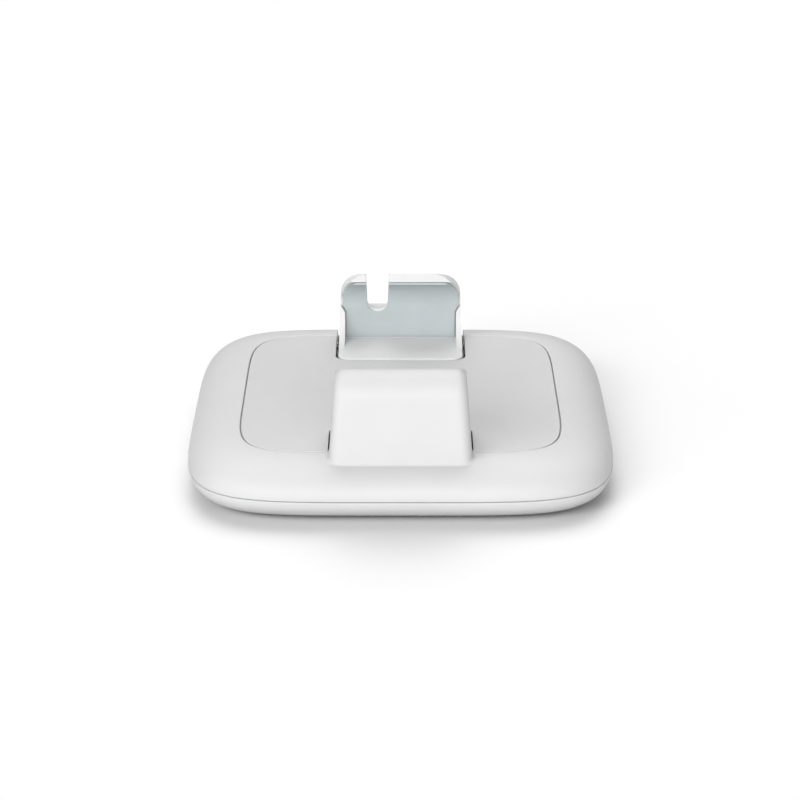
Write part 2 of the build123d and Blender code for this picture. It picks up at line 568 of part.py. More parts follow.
# ---------------------------------------------------------------- case fasteners
with BuildPart() as case_inserts:
    for x, y in CASE_HOLES:
        cylinder_at(x, y, CEILING_Z - 5.0, CEILING_Z - 0.2, 2.1)
        cylinder_at(x, y, CEILING_Z - 5.0, CEILING_Z - 0.2, 1.5, mode=Mode.SUBTRACT)
save(case_inserts, "case_inserts")

with BuildPart() as case_screws:
    for x, y in CASE_HOLES:
        cylinder_at(x, y, CEILING_Z - 6.0, RECESS_Z - 0.1, 1.5)
        with Locations((x, y, RECESS_Z - 0.1)):
            Cone(1.5, 3.0, 1.5, align=(Align.CENTER, Align.CENTER, Align.MAX))
        block(x - 1.4, x + 1.4, y - 0.3, y + 0.3, RECESS_Z - 0.8, RECESS_Z, mode=Mode.SUBTRACT)
        block(x - 0.3, x + 0.3, y - 1.4, y + 1.4, RECESS_Z - 0.8, RECESS_Z, mode=Mode.SUBTRACT)
save(case_screws, "case_screws")

# ---------------------------------------------------------------- board stack in the body
with BuildPart() as heat_spreader:
    block(-70, 70, -72, 38, SPREADER_Z, SPREADER_TOP)
    fillet(heat_spreader.edges().filter_by(Axis.Z), 6)
    block(-70, 70, -72, -70.5, SPREADER_TOP, SPREADER_TOP + 2)
    block(-70, 70, 36.5, 38, SPREADER_TOP, SPREADER_TOP + 2)
    for x, y in BOARD_HOLES:
        cylinder_at(x, y, SPREADER_Z - 1, SPREADER_TOP + 1, 1.7, mode=Mode.SUBTRACT)
    cylinder_at(*LED_XY, SPREADER_Z - 1, SPREADER_TOP + 1, 2.2, mode=Mode.SUBTRACT)
save(heat_spreader, "heat_spreader")

with BuildPart() as board_spacers:
    for x, y in BOARD_HOLES:
        cylinder_at(x, y, SPREADER_TOP, BOARD_Z, 3.0)
        cylinder_at(x, y, SPREADER_TOP, BOARD_Z, 1.7, mode=Mode.SUBTRACT)
save(board_spacers, "board_spacers")

with BuildPart() as main_board:
    block(-66, 66, -92, 35, BOARD_Z, BOARD_TOP)
    fillet(main_board.edges().filter_by(Axis.Z), 3)
    for x, y in BOARD_HOLES:
        cylinder_at(x, y, BOARD_Z - 1, BOARD_TOP + 1, 1.7, mode=Mode.SUBTRACT)
save(main_board, "main_board")

with BuildPart() as board_screws:
    for x, y in BOARD_HOLES:
        cylinder_at(x, y, 4.0, BOARD_TOP + 0.2, 1.25)
        cylinder_at(x, y, BOARD_TOP, BOARD_TOP + 2.0, 2.8)
        block(x - 1.4, x + 1.4, y - 0.3, y + 0.3, BOARD_TOP + 1.2, BOARD_TOP + 3, mode=Mode.SUBTRACT)
        block(x - 0.3, x + 0.3, y - 1.4, y + 1.4, BOARD_TOP + 1.2, BOARD_TOP + 3, mode=Mode.SUBTRACT)
save(board_screws, "board_screws")

CHIP_Z = BOARD_Z - 1.2
CHIPS = {
    "processor_chip": [(0, -10, 19)],
    "radio_chips": [(-36, -14, 12), (36, -14, 12)],
    "memory_chips": [(-14, 18, 10), (14, 18, 10)],
}
for name, spots in CHIPS.items():
    with BuildPart() as chips:
        for x, y, size in spots:
            block(x - size / 2, x + size / 2, y - size / 2, y + size / 2, CHIP_Z, BOARD_Z)
    save(chips, name)

with BuildPart() as thermal_pads:
    for spots in CHIPS.values():
        for x, y, size in spots:
            block(x - size / 2, x + size / 2, y - size / 2, y + size / 2, SPREADER_TOP, CHIP_Z)
save(thermal_pads, "thermal_pads")

with BuildPart() as rf_shields:
    for x in (-44, 44):
        block(x - 16, x + 16, -32, 4, BOARD_TOP, BOARD_TOP + 3.0)
    fillet(rf_shields.edges().filter_by(Axis.Z), 1.5)
    for x in (-44, 44):
        block(x - 15.7, x + 15.7, -31.7, 3.7, BOARD_TOP, BOARD_TOP + 2.7, mode=Mode.SUBTRACT)
        with Locations((x, -14, BOARD_TOP + 3)):
            with GridLocations(6, 6, 4, 4):
                Cylinder(1.0, 2, mode=Mode.SUBTRACT)
save(rf_shields, "rf_shields")

# stamped inverted-F antennas: a foot, two legs and an arm above the board's edge
with BuildPart() as antennas:
    for sx in (-1, 1):
        for y0 in (-58, 8):
            x0, x1 = sorted((sx * 58.0, sx * 64.0))
            block(x0, x1, y0 + 4, y0 + 8, BOARD_TOP, BOARD_TOP + 0.5)
            leg0, leg1 = sorted((sx * 63.5, sx * 64.0))
            block(leg0, leg1, y0 + 4, y0 + 8, BOARD_TOP, BOARD_TOP + 5.6)
            block(leg0, leg1, y0 + 4, y0 + 24 - (2 if y0 > 0 else 0), BOARD_TOP + 5.1, BOARD_TOP + 5.6)
            block(x0, x1, y0 + 4, y0 + 24 - (2 if y0 > 0 else 0), BOARD_TOP + 5.1, BOARD_TOP + 5.6)
save(antennas, "antennas")

with BuildPart() as power_inductors:
    for x in (-24, -12):
        block(x - 4, x + 4, -60, -52, BOARD_TOP, BOARD_TOP + 4)
    fillet(power_inductors.edges().filter_by(Axis.Z), 1.2)
save(power_inductors, "power_inductors")

with BuildPart() as power_capacitors:
    for x in (8, 17, 26):
        cylinder_at(x, -56, BOARD_TOP, BOARD_TOP + 6, 3.2)
    chamfer(power_capacitors.faces().sort_by(Axis.Z)[-3:].edges(), 0.4)
save(power_capacitors, "power_capacitors")

# ---------------------------------------------------------------- port board in the tower
with BuildPart() as board_connector:
    block(-15, 15, -86, -80.5, BOARD_TOP, PORT_BOARD_Z)
save(board_connector, "board_connector")

with BuildPart() as port_spacers:
    for x, y in PORT_HOLES:
        cylinder_at(x, y, BOARD_TOP, PORT_BOARD_Z, 2.4)
save(port_spacers, "port_spacers")

with BuildPart() as port_board:
    block(-29, 29, -88, TOWER_REAR_Y - WALL - 0.4, PORT_BOARD_Z, PORT_BOARD_TOP)
    for x, y in PORT_HOLES:
        cylinder_at(x, y, PORT_BOARD_Z - 1, PORT_BOARD_TOP + 1, 1.3, mode=Mode.SUBTRACT)
save(port_board, "port_board")

with BuildPart() as port_screws:
    for x, y in PORT_HOLES:
        cylinder_at(x, y, PORT_BOARD_Z, PORT_BOARD_TOP + 0.1, 1.25)
        cylinder_at(x, y, PORT_BOARD_TOP, PORT_BOARD_TOP + 1.6, 2.4)
        block(x - 1.2, x + 1.2, y - 0.3, y + 0.3, PORT_BOARD_TOP + 0.9, PORT_BOARD_TOP + 2,
              mode=Mode.SUBTRACT)
save(port_screws, "port_screws")

JACK_REAR_Y = JACK_FACE_Y - JACK_L
with BuildPart() as ethernet_jack:
    block(PORT_X - JACK_W / 2 + 0.3, PORT_X + JACK_W / 2 - 0.3, JACK_REAR_Y + 0.3, JACK_FACE_Y,
          PORT_BOARD_TOP, PORT_BOARD_TOP + JACK_H - 0.3)
    block(PORT_X - SOCKET_W / 2, PORT_X + SOCKET_W / 2, JACK_FACE_Y - SOCKET_L, JACK_FACE_Y + 1,
          SOCKET_Z - SOCKET_H / 2, SOCKET_Z + SOCKET_H / 2, mode=Mode.SUBTRACT)
    # keyway for the plug's latch, below the socket
    block(PORT_X - 3.2, PORT_X + 3.2, JACK_FACE_Y - SOCKET_L, JACK_FACE_Y + 1,
          SOCKET_Z - SOCKET_H / 2 - 1.4, SOCKET_Z, mode=Mode.SUBTRACT)
save(ethernet_jack, "ethernet_jack")

with BuildPart() as jack_shield:
    block(PORT_X - JACK_W / 2, PORT_X + JACK_W / 2, JACK_REAR_Y, JACK_FACE_Y,
          PORT_BOARD_TOP, PORT_BOARD_TOP + JACK_H)
    block(PORT_X - JACK_W / 2 + 0.3, PORT_X + JACK_W / 2 - 0.3, JACK_REAR_Y + 0.3, JACK_FACE_Y + 1,
          PORT_BOARD_TOP - 1, PORT_BOARD_TOP + JACK_H - 0.3, mode=Mode.SUBTRACT)
save(jack_shield, "jack_shield")

# eight sprung contacts under the socket's roof
with BuildPart() as jack_contacts:
    for i in range(8):
        x = PORT_X + (i - 3.5) * 1.02
        roof = SOCKET_Z + SOCKET_H / 2
        with BuildSketch(Plane.YZ.offset(x - 0.2)):
            with BuildLine():
                Polyline((JACK_FACE_Y - 1.5, roof), (JACK_FACE_Y - 1.5, roof - 0.4),
                         (JACK_FACE_Y - 10, roof - 3.0), (JACK_FACE_Y - 10, roof - 2.6),
                         (JACK_FACE_Y - 2.8, roof - 0.4), (JACK_FACE_Y - 2.8, roof),
                         (JACK_FACE_Y - 1.5, roof))
            make_face()
        extrude(amount=0.4)
save(jack_contacts, "jack_contacts")

with BuildPart() as magnetics:
    block(4, 20, -86, -74, PORT_BOARD_TOP, PORT_BOARD_TOP + 5.0)
    fillet(magnetics.faces().sort_by(Axis.Z)[-1].edges(), 0.5)
save(magnetics, "magnetics")

# ---------------------------------------------------------------- reset button
SWITCH_FACE_Y = TOWER_REAR_Y - WALL - 4.2
with BuildPart() as reset_switch:
    block(BUTTON_X - 3, BUTTON_X + 3, SWITCH_FACE_Y - 4, SWITCH_FACE_Y, PORT_BOARD_TOP, PORT_BOARD_TOP + 9)
save(reset_switch, "reset_switch")

with BuildPart() as reset_button:
    with Locations(Location((BUTTON_X, TOWER_REAR_Y - 0.2, BUTTON_Z), (90, 0, 0))):
        Cylinder(BUTTON_R, 2.6, align=(Align.CENTER, Align.CENTER, Align.MIN))
    with Locations(Location((BUTTON_X, TOWER_REAR_Y - WALL - 0.2, BUTTON_Z), (90, 0, 0))):
        Cylinder(BUTTON_R + 0.9, 0.8, align=(Align.CENTER, Align.CENTER, Align.MIN))
        Cylinder(0.7, 3.0, align=(Align.CENTER, Align.CENTER, Align.MIN))
    fillet(reset_button.faces().sort_by(Axis.Y)[-1].edges(), 0.4)
save(reset_button, "reset_button")

SPRING_START = (BUTTON_X, SWITCH_FACE_Y + 0.3, BUTTON_Z)
SPRING_R = 1.6
with BuildPart() as reset_spring:
    with BuildLine() as coil:
        Helix(pitch=0.85, height=2.5, radius=SPRING_R, center=SPRING_START, direction=(0, 1, 0))
    with BuildSketch(Plane(origin=coil.line @ 0, z_dir=coil.line % 0)):
        Circle(0.2)
    sweep()
save(reset_spring, "reset_spring")

# ---------------------------------------------------------------- status light
with BuildPart() as status_led:
    block(LED_XY[0] - 1, LED_XY[0] + 1, LED_XY[1] - 0.8, LED_XY[1] + 0.8, BOARD_Z - 0.8, BOARD_Z)
save(status_led, "status_led")

with BuildPart() as light_guide:
    cylinder_at(*LED_XY, 0.3, BOARD_Z - 1.0, 1.4)
    cylinder_at(*LED_XY, RADOME_WALL + 0.9, RADOME_WALL + 1.9, 2.6)
save(light_guide, "light_guide")
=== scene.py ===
import json
import math

import bmesh
import bpy
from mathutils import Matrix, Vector
from mathutils.geometry import tessellate_polygon

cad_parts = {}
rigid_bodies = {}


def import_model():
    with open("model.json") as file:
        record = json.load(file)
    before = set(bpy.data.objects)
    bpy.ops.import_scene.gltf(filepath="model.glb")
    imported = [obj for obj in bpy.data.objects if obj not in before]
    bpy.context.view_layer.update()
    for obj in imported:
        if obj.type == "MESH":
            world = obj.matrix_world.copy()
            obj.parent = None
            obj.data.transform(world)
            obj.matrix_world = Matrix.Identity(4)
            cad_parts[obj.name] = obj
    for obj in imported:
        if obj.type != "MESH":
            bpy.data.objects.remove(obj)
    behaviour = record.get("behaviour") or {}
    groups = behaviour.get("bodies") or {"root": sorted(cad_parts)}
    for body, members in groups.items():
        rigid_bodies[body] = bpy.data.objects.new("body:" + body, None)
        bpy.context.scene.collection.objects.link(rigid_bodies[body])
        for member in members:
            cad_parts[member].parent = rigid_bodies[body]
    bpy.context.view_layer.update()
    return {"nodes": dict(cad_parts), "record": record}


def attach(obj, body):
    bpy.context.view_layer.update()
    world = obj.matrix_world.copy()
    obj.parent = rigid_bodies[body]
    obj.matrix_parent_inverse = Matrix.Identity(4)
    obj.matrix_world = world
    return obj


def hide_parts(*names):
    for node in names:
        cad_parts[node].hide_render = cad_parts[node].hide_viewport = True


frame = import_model()
record = frame["record"]
nodes = frame["nodes"]
scene = bpy.context.scene
scene.view_settings.view_transform = "Standard"

MM = 0.001


# ---------------------------------------------------------------- camera, floor and light
CAMERA_PLACE, CAMERA_PITCH, CAMERA_LENS = (-0.0003, -1.2041, 0.512), 22.12, 109.6


def look():
    """The camera, looking along +Y and down at the part."""
    cam = bpy.data.cameras.new("camera")
    cam.lens = CAMERA_LENS
    cam.sensor_width = 36.0
    obj = bpy.data.objects.new("camera", cam)
    scene.collection.objects.link(obj)
    obj.location = CAMERA_PLACE
    obj.rotation_euler = (math.radians(90 - CAMERA_PITCH), 0, 0)
    scene.camera = obj


def area_light(name, place, aim, size, watts):
    light = bpy.data.lights.new(name, "AREA")
    light.shape = "RECTANGLE"
    light.size, light.size_y = size
    light.energy = watts
    obj = bpy.data.objects.new(name, light)
    scene.collection.objects.link(obj)
    obj.location = place
    obj.rotation_euler = (Vector(aim) - Vector(place)).to_track_quat("-Z", "Y").to_euler()


LOBES = [  # direction, sharpness, strength of the dome's soft boxes
    ((-0.62, -0.62, 0.48), 20, 6.2),
    ((0.62, -0.62, 0.48), 20, 1.1),
    ((-0.94, 0.0, 0.34), 4, 0.15),
    ((0.94, 0.0, 0.34), 4, 0.35),
    ((0.0, 0.62, 0.79), 12, 5.7),
]


def sky():
    """Soft studio light: a dark dome with a few broad soft boxes in it."""
    world = bpy.data.worlds.new("studio")
    scene.world = world
    world.use_nodes = True
    tree = world.node_tree
    tree.nodes.clear()
    out = tree.nodes.new("ShaderNodeOutputWorld")
    back = tree.nodes.new("ShaderNodeBackground")
    back.inputs["Color"].default_value = (1.0, 1.0, 1.0, 1)
    coord = tree.nodes.new("ShaderNodeTexCoord")
    total = 0.0
    for direction, sharp, strength in LOBES:
        dot = tree.nodes.new("ShaderNodeVectorMath")
        dot.operation = "DOT_PRODUCT"
        dot.inputs[1].default_value = direction
        tree.links.new(coord.outputs["Generated"], dot.inputs[0])
        lit = maths(tree, "POWER", maths(tree, "MAXIMUM", dot.outputs["Value"], 0.0), sharp)
        total = maths(tree, "MULTIPLY_ADD", lit, strength, total)
    tree.links.new(total, back.inputs["Strength"])
    tree.links.new(back.outputs[0], out.inputs["Surface"])


def maths(tree, kind, *values):
    node = tree.nodes.new("ShaderNodeMath")
    node.operation = kind
    for i, value in enumerate(values):
        if isinstance(value, (int, float)):
            node.inputs[i].default_value = value
        else:
            tree.links.new(value, node.inputs[i])
    return node.outputs[0]


# ---------------------------------------------------------------- materials
def new_material(name):
    mat = bpy.data.materials.new(name)
    mat.use_nodes = True
    tree = mat.node_tree
    shader = tree.nodes["Principled BSDF"]
    coord = tree.nodes.new("ShaderNodeTexCoord")
    return mat, tree, shader, coord.outputs["Object"]


def noise(tree, coord, scale, detail=2.0, stretch=None):
    if stretch:
        mapping = tree.nodes.new("ShaderNodeMapping")
        mapping.inputs["Scale"].default_value = stretch
        tree.links.new(coord, mapping.inputs["Vector"])
        coord = mapping.outputs[0]
    node = tree.nodes.new("ShaderNodeTexNoise")
    node.inputs["Scale"].default_value = scale
    node.inputs["Detail"].default_value = detail
    tree.links.new(coord, node.inputs["Vector"])
    return node.outputs["Fac"]


def ramp(tree, fac, low, high, first=0.35, last=0.65):
    node = tree.nodes.new("ShaderNodeValToRGB")
    node.color_ramp.elements[0].position = first
    node.color_ramp.elements[1].position = last
    node.color_ramp.elements[0].color = (*low, 1)
    node.color_ramp.elements[1].color = (*high, 1)
    tree.links.new(fac, node.inputs[0])
    return node.outputs["Color"]


def spread(tree, fac, low, high):
    node = tree.nodes.new("ShaderNodeMapRange")
    node.inputs["From Min"].default_value = 0.3
    node.inputs["From Max"].default_value = 0.7
    node.inputs["To Min"].default_value = low
    node.inputs["To Max"].default_value = high
    tree.links.new(fac, node.inputs["Value"])
    return node.outputs[0]


def bump(tree, shader, height, strength, distance):
    node = tree.nodes.new("ShaderNodeBump")
    node.inputs["Strength"].default_value = strength
    node.inputs["Distance"].default_value = distance
    tree.links.new(height, node.inputs["Height"])
    tree.links.new(node.outputs[0], shader.inputs["Normal"])


def shades(colour, vary):
    """A darker and a lighter shade of a colour."""
    return tuple(max(c - vary, 0) for c in colour), tuple(min(c + vary, 1) for c in colour)


def plastic(name, colour, vary=0.004, rough=(0.52, 0.6), grain=1800, strength=0.1):
    """Moulded plastic: spark-eroded grain, slight cloudiness and uneven sheen."""
    mat, tree, shader, coord = new_material(name)
    cloud = noise(tree, coord, 45, 3)
    tree.links.new(ramp(tree, cloud, *shades(colour, vary)), shader.inputs["Base Color"])
    tree.links.new(spread(tree, noise(tree, coord, 260, 2), *rough), shader.inputs["Roughness"])
    bump(tree, shader, noise(tree, coord, grain, 3), strength, 0.00006)
    shader.inputs["IOR"].default_value = 1.46
    shader.inputs["Specular IOR Level"].default_value = 0.35
    return mat


def metal(name, colour, vary=0.03, rough=(0.28, 0.42), stretch=None, strength=0.1, scale=1500):
    """Bare metal with fine drawn or machined marks."""
    mat, tree, shader, coord = new_material(name)
    marks = noise(tree, coord, scale, 3, stretch)
    tree.links.new(ramp(tree, marks, *shades(colour, vary)), shader.inputs["Base Color"])
    tree.links.new(spread(tree, noise(tree, coord, 400, 2), *rough), shader.inputs["Roughness"])
    bump(tree, shader, marks, strength, 0.00004)
    shader.inputs["Metallic"].default_value = 1.0
    return mat


def coated(name, colour):
    """Powder-coated sheet steel: fine orange peel under a satin film."""
    mat, tree, shader, coord = new_material(name)
    peel = noise(tree, coord, 900, 2)
    tree.links.new(ramp(tree, noise(tree, coord, 60, 3), *shades(colour, 0.012)), shader.inputs["Base Color"])
    tree.links.new(spread(tree, peel, 0.44, 0.52), shader.inputs["Roughness"])
    bump(tree, shader, peel, 0.15, 0.00005)
    shader.inputs["Metallic"].default_value = 0.1
    return mat


def board(name):
    """Green solder mask with copper areas showing through."""
    mat, tree, shader, coord = new_material(name)
    brick = tree.nodes.new("ShaderNodeTexBrick")
    brick.inputs["Scale"].default_value = 120
    brick.inputs["Mortar Size"].default_value = 0.03
    brick.inputs["Color1"].default_value = (0.030, 0.16, 0.085, 1)
    brick.inputs["Color2"].default_value = (0.036, 0.19, 0.10, 1)
    brick.inputs["Mortar"].default_value = (0.05, 0.25, 0.13, 1)
    tree.links.new(coord, brick.inputs["Vector"])
    tree.links.new(brick.outputs["Color"], shader.inputs["Base Color"])
    tree.links.new(spread(tree, noise(tree, coord, 300, 2), 0.3, 0.4), shader.inputs["Roughness"])
    bump(tree, shader, brick.outputs["Fac"], 0.2, 0.00003)
    return mat


def clear(name, colour):
    mat, tree, shader, coord = new_material(name)
    tree.links.new(ramp(tree, noise(tree, coord, 200, 2), tuple(c - 0.02 for c in colour), colour),
                   shader.inputs["Base Color"])
    tree.links.new(spread(tree, noise(tree, coord, 500, 2), 0.08, 0.14), shader.inputs["Roughness"])
    shader.inputs["Transmission Weight"].default_value = 0.8
    shader.inputs["IOR"].default_value = 1.49
    return mat


def floor_material():
    mat, tree, shader, coord = new_material("floor")
    shade = ramp(tree, noise(tree, coord, 3, 2), (0.945, 0.945, 0.945), (0.955, 0.955, 0.955))
    tree.links.new(shade, shader.inputs["Base Color"])
    shader.inputs["Roughness"].default_value = 0.9
    shader.inputs["Specular IOR Level"].default_value = 0.0
    return mat


# The whites stand for white plastic of about 0.85 but are set near half that: painted shade over the whole
# part, so the lamps can light the floor to white. The panel is set darker and the bracket lighter than the
# shell to match how light falls on each: painted shade on the panel's top, painted light on the bracket.
MATERIALS = {
    "white_shell": plastic("white_shell", (0.505, 0.505, 0.505)),
    "white_panel": plastic("white_panel", (0.48, 0.48, 0.48), rough=(0.56, 0.64), grain=1500),
    "white_bracket": plastic("white_bracket", (0.61, 0.61, 0.61)),
    "coated_steel": coated("coated_steel", (0.385, 0.425, 0.435)),
    "tape": plastic("tape", (0.10, 0.10, 0.10), 0.02, (0.85, 0.95), 2500, 0.5),
    "brass": metal("brass", (0.72, 0.52, 0.22)),
    "screw_steel": metal("screw_steel", (0.55, 0.55, 0.56)),
    "pin_steel": metal("pin_steel", (0.62, 0.62, 0.63), stretch=(1, 12, 12)),
    "bush_plastic": plastic("bush_plastic", (0.72, 0.71, 0.66)),
    "aluminium": metal("aluminium", (0.76, 0.77, 0.78), stretch=(1, 10, 1)),
    "circuit_board": board("circuit_board"),
    "chip": plastic("chip", (0.03, 0.03, 0.033), 0.008, (0.5, 0.6), 3000, 0.2),
    "thermal_pad": plastic("thermal_pad", (0.35, 0.41, 0.55), 0.03, (0.8, 0.9), 2000, 0.3),
    "tinned_steel": metal("tinned_steel", (0.72, 0.72, 0.71), stretch=(8, 1, 1)),
    "black_plastic": plastic("black_plastic", (0.022, 0.022, 0.022), 0.006, (0.35, 0.45)),
    "gold": metal("gold", (0.85, 0.62, 0.25), rough=(0.2, 0.3)),
    "grey_button": plastic("grey_button", (0.32, 0.33, 0.34)),
    "led": clear("led", (0.92, 0.92, 0.86)),
    "clear_plastic": clear("clear_plastic", (0.95, 0.96, 0.97)),
}
for sub in record["subparts"]:
    obj = nodes[sub["node"]]
    obj.data.materials.clear()
    obj.data.materials.append(MATERIALS[sub["material_slot"]])


# ---------------------------------------------------------------- edges of the pieces kept from CAD
def soften(name, width, angle_deg=25, flat_deg=1.0):
    """Round a CAD piece's sharp edges a little, as moulding or deburring leaves them."""
    obj = nodes[name]
    weld = obj.modifiers.new("weld", "WELD")
    weld.merge_threshold = 0.000002
    flat = obj.modifiers.new("flat", "DECIMATE")
    flat.decimate_type = "DISSOLVE"
    flat.angle_limit = math.radians(flat_deg)
    edge = obj.modifiers.new("edge", "BEVEL")
    edge.width = width * MM
    edge.segments = 3
    edge.limit_method = "ANGLE"
    edge.angle_limit = math.radians(angle_deg)
    edge.harden_normals = True
    edge.miter_outer = "MITER_ARC"
    normal = obj.modifiers.new("normal", "WEIGHTED_NORMAL")
    normal.keep_sharp = True
    return obj


for piece, width in (("bracket_frame", 0.35), ("bracket_rear_cover", 0.45), ("bracket_liner", 0.2),
                     ("ethernet_jack", 0.2), ("jack_shield", 0.1), ("reset_button", 0.25)):
    soften(piece, width)


# ---------------------------------------------------------------- mesh helpers
class Mesh:
    """Collects points in millimetres and faces, and makes the object from them."""

    def __init__(self, name):
        self.name, self.points, self.faces = name, [], []

    def row(self, points):
        start = len(self.points)
        self.points.extend(points)
        return list(range(start, len(self.points)))

    def strip(self, a, b, closed=False):
        n = len(a)
        for i in range(n if closed else n - 1):
            j = (i + 1) % n
            self.faces.append((a[i], a[j], b[j], b[i]))

    def grid(self, rows, closed=False):
        made = [self.row(r) for r in rows]
        for a, b in zip(made, made[1:]):
            self.strip(a, b, closed)
        return made

    def face(self, loop):
        self.faces.append(tuple(loop))

    def make(self, material, sharp_deg=40):
        mesh = bpy.data.meshes.new(self.name)
        mesh.from_pydata([(x * MM, y * MM, z * MM) for x, y, z in self.points], [], self.faces)
        bm = bmesh.new()
        bm.from_mesh(mesh)
        bmesh.ops.remove_doubles(bm, verts=bm.verts, dist=1e-6)
        bmesh.ops.dissolve_degenerate(bm, edges=bm.edges, dist=1e-7)
        bmesh.ops.recalc_face_normals(bm, faces=bm.faces)
        bm.to_mesh(mesh)
        bm.free()
        mesh.shade_smooth()
        mesh.set_sharp_from_angle(angle=math.radians(sharp_deg))
        mesh.materials.append(material)
        obj = bpy.data.objects.new(self.name, mesh)
        scene.collection.objects.link(obj)
        return obj


def finish_piece(obj, body, slot, *replaced):
    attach(obj, body)
    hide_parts(*replaced)


# ---------------------------------------------------------------- the rounded square and the ring
BODY_HALF, PANEL_HALF = 110.0, 83.0
BODY_POWER, PANEL_POWER = 4.9, 6.5
SEAM_Z, SEAM_GAP = 12.5, 0.5
CROWN, CROWN_POWER = 15.6, 2.2
PANEL_TOP = SEAM_Z + CROWN
RECESS_Z = PANEL_TOP - 2.0
FOOT_INSET = 17.0
WALL, RADOME_WALL = 2.4, 2.2
SEAM_LIP = 1.2               # flat of the seam's edge, seen in the gap
SEAM_EDGES = ((SEAM_LIP, 0.0), (0.30, 0.0), (0.08, 0.07))   # inset and height of the rounded seam edge
PANEL_GAP, PANEL_EDGE_R, GROOVE_EDGE_R = 0.55, 0.4, 0.55
SHELF = 5.0                  # recess floor seen inside the groove


def power_of(half):
    return BODY_POWER + (PANEL_POWER - BODY_POWER) * max(0.0, (BODY_HALF - half) / (BODY_HALF - PANEL_HALF))


def rim(half, angle, n=None):
    """A point of the rounded square with that half width."""
    n = n or power_of(half)
    c, s = math.cos(angle), math.sin(angle)
    r = half / (abs(c) ** n + abs(s) ** n) ** (1 / n)
    return r * c, r * s


def even_angles(start, end, count):
    """Angles from start to end, closer together where the outline turns."""
    fine = 4000
    total, marks, last = 0.0, [0.0], None
    previous, heading = rim(100, start), None
    for i in range(1, fine + 1):
        a = start + (end - start) * i / fine
        point = rim(100, a)
        d = (point[0] - previous[0], point[1] - previous[1])
        turn = 0.0
        now = math.atan2(d[1], d[0])
        if heading is not None:
            turn = abs((now - heading + math.pi) % (2 * math.pi) - math.pi)
        total += math.hypot(*d) / 800 + turn / (2 * math.pi) * 1.6
        marks.append(total)
        previous, heading = point, now
    out, j = [], 0
    for k in range(count + 1):
        want = total * k / count
        while j < fine and marks[j + 1] < want:
            j += 1
        part = (want - marks[j]) / max(marks[j + 1] - marks[j], 1e-12) if j < fine else 0
        out.append(start + (end - start) * (j + part) / fine)
    return out


def ring_section(t):
    """Half width and height of the shell's rounded side; t runs from the seam to the panel."""
    half = PANEL_HALF + (BODY_HALF - PANEL_HALF) * max(math.cos(t), 0) ** (2 / CROWN_POWER)
    z = SEAM_Z + SEAM_GAP / 2 + (CROWN - SEAM_GAP / 2) * math.sin(t) ** (2 / CROWN_POWER)
    return half, z


def ring_height(x, y):
    """Height of the back shell's surface above a point of the plan."""
    half = max(abs(x), abs(y))
    for _ in range(12):
        n = power_of(half)
        half = (abs(x) ** n + abs(y) ** n) ** (1 / n)
    if half <= PANEL_HALF:
        return PANEL_TOP
    c = min((half - PANEL_HALF) / (BODY_HALF - PANEL_HALF), 1) ** (CROWN_POWER / 2)
    return ring_section(math.acos(c))[1]


AROUND = even_angles(0, 2 * math.pi, 400)[:-1]


def rim_row(half, z):
    return [(*rim(half, a), z) for a in AROUND]


# ---------------------------------------------------------------- radome
def radome():
    """The lower shell: a rounded side that runs in to the flat resting face."""
    m = Mesh("radome_shell")
    rows = []
    steps = 26
    for i in range(steps + 1):
        t = 0.5 * math.pi * i / steps
        half = BODY_HALF - FOOT_INSET + FOOT_INSET * max(math.cos(t), 0)
        z = (SEAM_Z - SEAM_GAP / 2) * (1 - math.sin(t))
        rows.append((half, z))
    lip = [(BODY_HALF - inset, rows[0][1] - down) for inset, down in SEAM_EDGES]
    made = m.grid([rim_row(h, z) for h, z in lip + [(rows[0][0], rows[0][1] - 0.3)] + rows[1:]], True)
    inner = m.row(rim_row(60, 0))
    m.strip(made[-1], inner, True)
    m.face(inner)
    # inside, so that the shell has its thickness
    inside = [rim_row(BODY_HALF - SEAM_LIP, SEAM_Z - SEAM_GAP / 2)]
    for i in range(13):
        t = 0.5 * math.pi * i / 12
        half = BODY_HALF - FOOT_INSET - RADOME_WALL + FOOT_INSET * max(math.cos(t), 0)
        inside.append(rim_row(half, SEAM_Z - (SEAM_Z - RADOME_WALL) * math.sin(t)))
    made = m.grid(inside, True)
    m.face(made[-1])
    obj = m.make(MATERIALS["white_shell"])
    finish_piece(obj, "body", "white_shell", "front_radome")


# ---------------------------------------------------------------- back shell: ring, channel, tower
CHANNEL_HALF, CHANNEL_FRONT_Y, CHANNEL_CORNER = 35.8, 44.3, 8.0
CHANNEL_FLOOR_Z = SEAM_Z + 2.3
TOWER_FOOT = (-96.0, SEAM_Z + 14.0)
TOWER_LEAN, TOWER_ROOF = math.radians(4.0), math.radians(22.0)
TOWER_ARC_Z, TOWER_ARC_R = SEAM_Z + 46.8, 13.0
TOWER_REAR_Y, TOWER_HALF, TOWER_DRAFT = -54.5, 35.9, math.radians(4.4)
TOWER_SIDE_R, TOWER_REAR_R = 5.5, 2.0
TOWER_GAP = 0.65
TOWER_BLEND = 12.0           # length over which the roof's edges tighten towards the rear
FOOT_R, FOOT_FLARE = 1.3, 1.0
PORT_X, PORT_HALF, PORT_Z = -12.9, 8.2, (SEAM_Z + 16.7, SEAM_Z + 30.7)
BUTTON_X, BUTTON_Z, BUTTON_R = 10.0, 35.5, 2.65


def channel_plan():
    """Plan of the channel's front: from its right wall round to its left wall."""
    points = []
    for i in range(13):
        a = 0.5 * math.pi * i / 12
        points.append((CHANNEL_HALF - CHANNEL_CORNER + CHANNEL_CORNER * math.cos(a),
                       CHANNEL_FRONT_Y + CHANNEL_CORNER - CHANNEL_CORNER * math.sin(a)))
    return points + [(-x, y) for x, y in reversed(points)]


